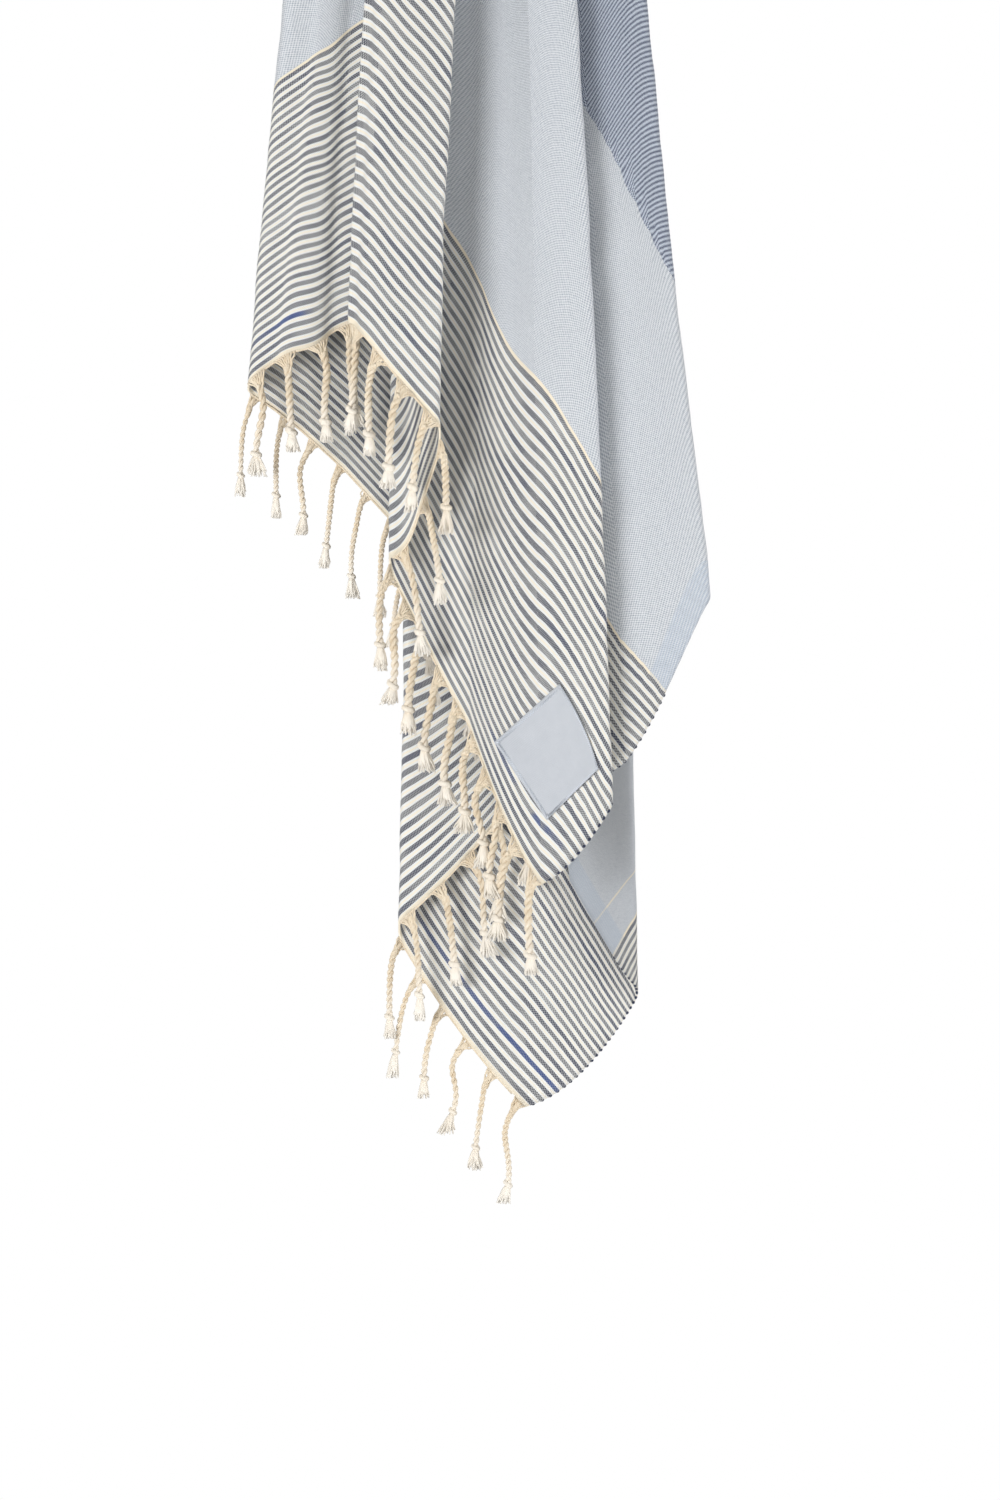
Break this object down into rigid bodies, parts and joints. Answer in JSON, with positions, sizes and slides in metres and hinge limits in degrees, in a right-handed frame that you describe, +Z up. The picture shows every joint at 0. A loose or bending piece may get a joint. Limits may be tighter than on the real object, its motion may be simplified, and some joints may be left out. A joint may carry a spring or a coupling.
{
  "type": "hammam towel",
  "caption": "Woven cotton hammam towel hung from its middle in deep soft folds, with striped and banded ends, a small bare label and knotted twisted fringe.",
  "frame": {"origin": "the top of the crown, where the towel is held", "axes": "X across the front, -Y out of the front, Z up"},
  "size_m": [0.3075, 0.1897, 1.1447],
  "materials": {
    "woven_cotton": "matt woven cotton with navy and cream stripes and grey-blue bands",
    "fringe_yarn": "matt twisted cotton yarn, cream",
    "satin_label": "smooth satin weave, pale blue"
  },
  "bodies": {
    "root": {"cloth": "woven_cotton", "fringe_back_behind": "fringe_yarn", "fringe_back_front_left": "fringe_yarn", "fringe_back_front_right": "fringe_yarn", "fringe_back_inner": "fringe_yarn", "fringe_back_low": "fringe_yarn", "fringe_back_main": "fringe_yarn", "fringe_back_turned": "fringe_yarn", "fringe_front_behind": "fringe_yarn", "fringe_front_front_left": "fringe_yarn", "fringe_front_front_right": "fringe_yarn", "fringe_front_inner": "fringe_yarn", "fringe_front_low": "fringe_yarn", "fringe_front_main": "fringe_yarn", "fringe_front_turned": "fringe_yarn", "label": "satin_label"}
  },
  "joints": []
}
